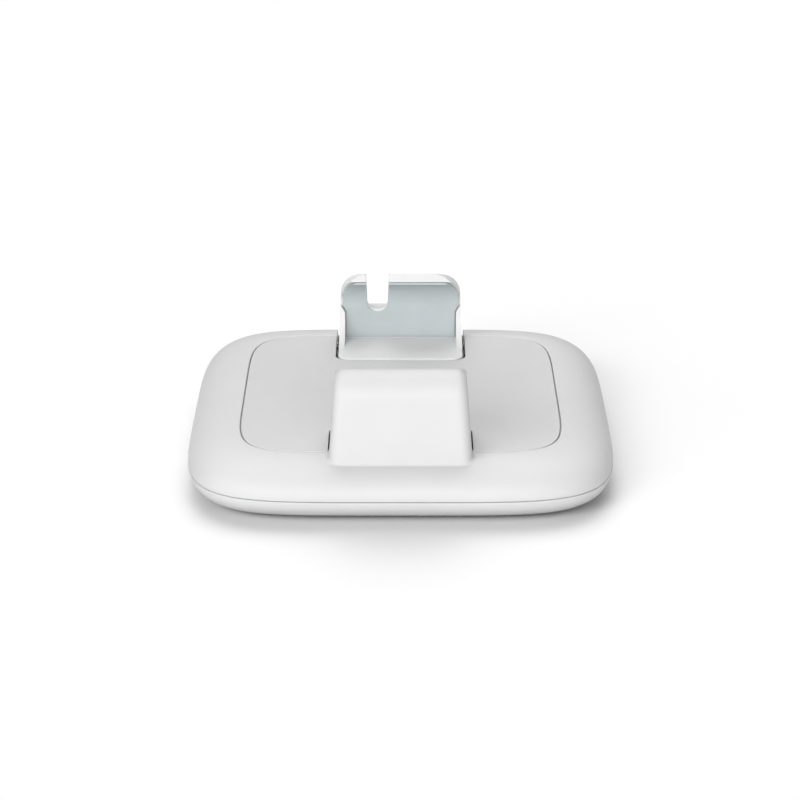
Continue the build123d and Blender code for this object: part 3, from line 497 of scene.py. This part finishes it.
def ring_start(half):
    """Angle at which the rounded square crosses the channel's right wall at the rear."""
    n = power_of(half)
    y = (half ** n - CHANNEL_HALF ** n) ** (1 / n)
    return math.atan2(y, CHANNEL_HALF)


SWEEP = even_angles(-math.pi / 2, ring_start(100), 200)


def open_row(half, z):
    """Half of the outline from the channel's right wall by the front to its left wall."""
    full = (ring_start(half) + math.pi / 2) / (ring_start(100) + math.pi / 2)
    right = [-math.pi / 2 + (a + math.pi / 2) * full for a in SWEEP]
    points = [rim(half, a) for a in reversed(right)]
    return [(x, y, z) for x, y in points] + [(-x, y, z) for x, y in reversed(points[:-1])]


def shell_ring():
    """The back shell's rounded ring, open at the rear for the channel, with the channel's walls and floor."""
    m = Mesh("shell_ring")
    outside = [(BODY_HALF - inset, SEAM_Z + SEAM_GAP / 2 + up) for inset, up in SEAM_EDGES]
    steps = 36
    for i in range(1, steps + 1):
        half, z = ring_section(0.5 * math.pi * i / steps)
        if half > PANEL_HALF + 0.75:
            outside.append((half, z))
    edge = GROOVE_EDGE_R
    for i in range(6):
        a = 0.5 * math.pi * i / 5
        outside.append((PANEL_HALF + edge - edge * math.sin(a), PANEL_TOP - edge + edge * math.cos(a) - 0.01))
    outside += [(PANEL_HALF, RECESS_Z), (PANEL_HALF - SHELF, RECESS_Z)]
    made = m.grid([open_row(h, z) for h, z in outside])
    # walls of the channel: from the shell's cut edge down to the channel's floor
    for end in (0, -1):
        for a, b in zip(made, made[1:]):
            pa, pb = m.points[a[end]], m.points[b[end]]
            if min(pa[2], pb[2]) < CHANNEL_FLOOR_Z:
                continue
            low = m.row([(pa[0], pa[1], CHANNEL_FLOOR_Z), (pb[0], pb[1], CHANNEL_FLOOR_Z)])
            m.face((a[end], b[end], low[1], low[0]))
    rear_y = m.points[made[-1][0]][1]
    plan = [(CHANNEL_HALF, rear_y)] + channel_plan() + [(-CHANNEL_HALF, rear_y)]
    m.grid([[(x, y, RECESS_Z) for x, y in plan], [(x, y, CHANNEL_FLOOR_Z) for x, y in plan]])
    # floor of the channel with the strip of shell below its rear end
    floor = m.row([(x, y, CHANNEL_FLOOR_Z) for x, y in plan])
    sill = [(h, min(z, CHANNEL_FLOOR_Z)) for h, z in map(ring_section, (0.0, 0.06, 0.12, 0.16))]
    sill.append((sill[-1][0], CHANNEL_FLOOR_Z))
    columns = 24
    rows = []
    for h, z in sill:
        n = power_of(h)
        xs = [CHANNEL_HALF - 2 * CHANNEL_HALF * k / columns for k in range(columns + 1)]
        rows.append([(x, (h ** n - abs(x) ** n) ** (1 / n), z) for x in xs])
    made_rear = m.grid(rows)
    m.face(floor + list(reversed(made_rear[-1])))
    # inside faces give the rim its thickness and keep light out of the body
    inner = [open_row(BODY_HALF - SEAM_LIP, SEAM_Z + SEAM_GAP / 2), open_row(BODY_HALF - WALL, SEAM_Z)]
    for i in range(1, 13):
        t = 0.5 * math.pi * i / 12
        h = PANEL_HALF + (BODY_HALF - PANEL_HALF - WALL) * max(math.cos(t), 0) ** (2 / CROWN_POWER)
        z = SEAM_Z + (RECESS_Z - 2 - SEAM_Z) * math.sin(t) ** (2 / CROWN_POWER)
        inner.append(open_row(h, z))
    inner.append(open_row(PANEL_HALF - SHELF, RECESS_Z - 2))
    inner.append(open_row(PANEL_HALF - SHELF, RECESS_Z))
    m.grid(inner)
    return m.make(MATERIALS["white_shell"], 35)


def tower_stations():
    """Side view of the tower as points with their outward normals."""
    start_y = TOWER_FOOT[0] + (TOWER_ARC_Z - TOWER_FOOT[1]) * math.tan(TOWER_LEAN)
    cy = start_y + TOWER_ARC_R * math.cos(TOWER_LEAN)
    cz = TOWER_ARC_Z - TOWER_ARC_R * math.sin(TOWER_LEAN)
    face = (-math.cos(TOWER_LEAN), math.sin(TOWER_LEAN))
    out = []
    for z in (RECESS_Z - 1.5, 28, 30, 33, 36, 40, 44, 48, 52, 55, 57.5):
        out.append((start_y - (TOWER_ARC_Z - z) * math.tan(TOWER_LEAN), z, *face))
    a0, a1 = TOWER_LEAN, math.pi / 2 + TOWER_ROOF
    for i in range(25):
        a = a0 + (a1 - a0) * i / 24
        c, s = math.cos(a), math.sin(a)
        out.append((cy - TOWER_ARC_R * c, cz + TOWER_ARC_R * s, -c, s))
    y1, z1 = out[-1][0], out[-1][1]
    normal = (math.sin(TOWER_ROOF), math.cos(TOWER_ROOF))
    eave_z = z1 - (TOWER_REAR_Y - y1) * math.tan(TOWER_ROOF)
    # round at the rear top edge, tangent to roof and rear wall
    turn = math.pi / 2 - TOWER_ROOF
    cut = TOWER_REAR_R * math.tan(turn / 2)
    centre = (TOWER_REAR_Y - TOWER_REAR_R, eave_z - cut)
    ry, rz = TOWER_REAR_Y - cut * math.cos(TOWER_ROOF), eave_z + cut * math.sin(TOWER_ROOF)
    for k in (0.25, 0.5, 0.75, 0.92):
        out.append((y1 + (ry - y1) * k, z1 + (rz - z1) * k, *normal))
    for i in range(7):
        a = math.pi / 2 - TOWER_ROOF - turn * i / 6
        out.append((centre[0] + TOWER_REAR_R * math.cos(a), centre[1] + TOWER_REAR_R * math.sin(a),
                    math.cos(a), math.sin(a)))
    out.append((TOWER_REAR_Y, RECESS_Z - 1.5, 1.0, 0.0))
    return out


def tower_half(z):
    return TOWER_HALF - (z - PANEL_TOP) * math.tan(TOWER_DRAFT)




def rear_wall(m, top, bottom):
    """Flat rear wall of the tower between two rows, with the port's and the button's openings."""
    ring = top + list(reversed(bottom))
    low, high = PORT_Z
    port = [(PORT_X - PORT_HALF, low), (PORT_X + PORT_HALF, low), (PORT_X + PORT_HALF, high),
            (PORT_X - PORT_HALF, high)]
    turns = [a * math.pi / 16 for a in range(32)]
    button = [(BUTTON_X + BUTTON_R * math.cos(a), BUTTON_Z + BUTTON_R * math.sin(a)) for a in turns]
    loops = [[(m.points[i][0], m.points[i][2]) for i in ring], port, button]
    row = m.row([(x, TOWER_REAR_Y, z) for loop in loops for x, z in loop])
    for face in tessellate_polygon([[Vector((x, z, 0)) for x, z in loop] for loop in loops]):
        m.face([row[i] for i in face])
    for loop in (port, button):
        outer = m.row([(x, TOWER_REAR_Y, z) for x, z in loop])
        inner = m.row([(x, TOWER_REAR_Y - WALL, z) for x, z in loop])
        m.strip(outer, inner, True)


SIDE_MIDDLE = (-75.0, 40.0)


def tower():
    """The port tower: face, arc, roof and rear wall, rounded into its drafted sides."""
    m = Mesh("port_tower")
    stations = tower_stations()
    side_n = (math.cos(TOWER_DRAFT), 0.0, math.sin(TOWER_DRAFT))
    k_max = 10
    rows = []
    for y, z, ny, nz in stations:
        r = TOWER_SIDE_R
        n = (0.0, ny, nz)
        share = 1 + sum(a * b for a, b in zip(n, side_n))
        p = (tower_half(z), y, z)
        if y > TOWER_REAR_Y - TOWER_REAR_R - 0.01:
            r = TOWER_REAR_R
        elif y > TOWER_REAR_Y - TOWER_BLEND and nz > 0.5:
            blend = (y - (TOWER_REAR_Y - TOWER_BLEND)) / (TOWER_BLEND - TOWER_REAR_R)
            r = TOWER_SIDE_R + (TOWER_REAR_R - TOWER_SIDE_R) * min(1, blend)
        c = tuple(p[i] - r / share * (n[i] + side_n[i]) for i in range(3))
        angle = math.acos(max(-1, min(1, sum(a * b for a, b in zip(n, side_n)))))
        arc = []
        for k in range(k_max + 1):
            f = k / k_max
            w0 = math.sin((1 - f) * angle) / math.sin(angle)
            w1 = math.sin(f * angle) / math.sin(angle)
            d = tuple(w0 * n[i] + w1 * side_n[i] for i in range(3))
            arc.append(tuple(c[i] + r * d[i] for i in range(3)))
        inside = tuple(arc[0][i] - (0.6 if i == 0 else 0) for i in range(3))
        right = [inside] + arc
        flat = [(inside[0] * s, inside[1], inside[2]) for s in (-0.66, -0.33, 0.0, 0.33, 0.66)]
        left = [(-x, yy, zz) for x, yy, zz in reversed(right)]
        rows.append(left + flat + right)
    made = [m.row(r) for r in rows]
    for a, b in zip(made[:-1], made[1:-1]):
        m.strip(a, b)
    rear_wall(m, made[-2][k_max:-k_max], made[-1][k_max:-k_max])
    for strip in (slice(0, k_max + 1), slice(-k_max - 1, None)):
        m.strip(made[-2][strip], made[-1][strip])
    # side walls: one support strip, then the flat middle
    for end, sign in ((-1, 1), (0, -1)):
        loop = [r[end] for r in made]
        inward = []
        for i in loop:
            _, y, z = m.points[i]
            step = Vector((SIDE_MIDDLE[0] - y, SIDE_MIDDLE[1] - z)).normalized() * 1.2
            inward.append((sign * tower_half(z + step.y), y + step.x, z + step.y))
        inner = m.row(inward)
        m.strip(loop, inner)
        m.face(inner)
    return m.make(MATERIALS["white_shell"], 40)


def foot_fillet():
    """Small concave fillet where the tower's face and sides grow out of the ring."""
    m = Mesh("tower_foot")
    lean = math.tan(TOWER_LEAN)
    path = []
    radius = TOWER_SIDE_R
    half = tower_half(TOWER_FOOT[1] + 0.5)
    yf = TOWER_FOOT[0] + 0.5 * lean
    for i in range(9):
        y = -PANEL_HALF + (yf + radius + PANEL_HALF) * i / 8
        path.append((half, y, 1.0, 0.0))
    for i in range(1, 13):
        a = 0.5 * math.pi * i / 12
        path.append((half - radius + radius * math.cos(a), yf + radius - radius * math.sin(a),
                     math.cos(a), -math.sin(a)))
    for i in range(1, 8):
        path.append(((half - radius) * (1 - i / 7), yf, 0.0, -1.0))
    full = path + [(-x, y, -ox, oy) for x, y, ox, oy in reversed(path[:-1])]
    rows = [[] for _ in range(9)]
    for x, y, ox, oy in full:
        r = FOOT_R + FOOT_FLARE * ox * ox
        z0 = ring_height(x, y)
        up = (-ox * math.tan(TOWER_DRAFT) * r, -oy * lean * r, r)
        p0 = (x + up[0] - ox * 0.05, y + up[1] - oy * 0.05, z0 + up[2])
        q = (x + ox * r, y + oy * r)
        p2 = (q[0], q[1], ring_height(*q) - 0.01)
        p1 = (x, y, z0)
        for k in range(9):
            f = k / 8
            rows[k].append(tuple((1 - f) ** 2 * a + 2 * f * (1 - f) * b + f * f * c
                                 for a, b, c in zip(p0, p1, p2)))
    m.grid(rows)
    return m.make(MATERIALS["white_shell"], 60)


# ---------------------------------------------------------------- back panel
def panel():
    """The inset panel, cut out round the tower and the channel, with a rounded edge."""
    m = Mesh("back_panel_cover")
    half = PANEL_HALF - PANEL_GAP
    n = power_of(half)
    gap_x = TOWER_HALF + TOWER_GAP
    start = math.atan2(-(half ** n - gap_x ** n) ** (1 / n), gap_x)
    end = math.atan2((half ** n - CHANNEL_HALF ** n) ** (1 / n), CHANNEL_HALF)
    plan = channel_plan()
    right = [rim(half, a) for a in even_angles(start, end, 150)] + plan[:len(plan) // 2]
    rear = TOWER_REAR_Y + TOWER_GAP
    corner = []
    for i in range(7):
        a = 0.5 * math.pi * i / 6
        corner.append((gap_x - 2 + 2 * math.cos(a), rear - 2 + 2 * math.sin(a)))
    loop = right + [(-x, y) for x, y in reversed(right)] + [(-x, y) for x, y in corner] + corner[::-1]

    def offset(points, d):
        out = []
        count = len(points)
        for i, (x, y) in enumerate(points):
            x0, y0 = points[i - 1]
            x1, y1 = points[(i + 1) % count]
            a, b = (x - x0, y - y0), (x1 - x, y1 - y)
            la, lb = math.hypot(*a), math.hypot(*b)
            na, nb = (-a[1] / la, a[0] / la), (-b[1] / lb, b[0] / lb)
            k = 1 + na[0] * nb[0] + na[1] * nb[1]
            out.append((x + d * (na[0] + nb[0]) / k, y + d * (na[1] + nb[1]) / k))
        return out

    r = PANEL_EDGE_R
    rows = [[(x, y, RECESS_Z + 0.02) for x, y in loop]]
    for i in range(6):
        a = 0.5 * math.pi * i / 5
        inset = r * (1 - math.cos(a))
        rows.append([(x, y, PANEL_TOP - r + r * math.sin(a)) for x, y in offset(loop, inset)])
    rows.append([(x, y, PANEL_TOP) for x, y in offset(loop, r + 0.5)])
    made = m.grid(rows, True)
    m.face(made[-1])
    m.face(made[0])
    obj = m.make(MATERIALS["white_panel"], 50)
    finish_piece(obj, "body", "white_panel", "back_panel")


radome()
ring = shell_ring()
finish_piece(ring, "body", "white_shell", "back_shell")
for extra in (tower(), foot_fillet()):
    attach(extra, "body")
    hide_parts("back_shell")
panel()

# ---------------------------------------------------------------- floor and view
bpy.ops.mesh.primitive_grid_add(x_subdivisions=8, y_subdivisions=8, size=24, location=(0, 0, -0.0002))
floor = bpy.context.object
floor.name = "floor"
floor.data.materials.append(floor_material())
sky()
# soft box in front, linked to the part and not to the floor
area_light("front_box", (0, -1.63, 0.65), (0, 0, 0.03), (1.6, 0.35), 26.0)
pieces = bpy.data.collections.new("lit_pieces")
for obj in list(scene.objects):
    if obj.type == "MESH" and obj.name != "floor":
        pieces.objects.link(obj)
bpy.data.objects["front_box"].light_linking.receiver_collection = pieces
look()
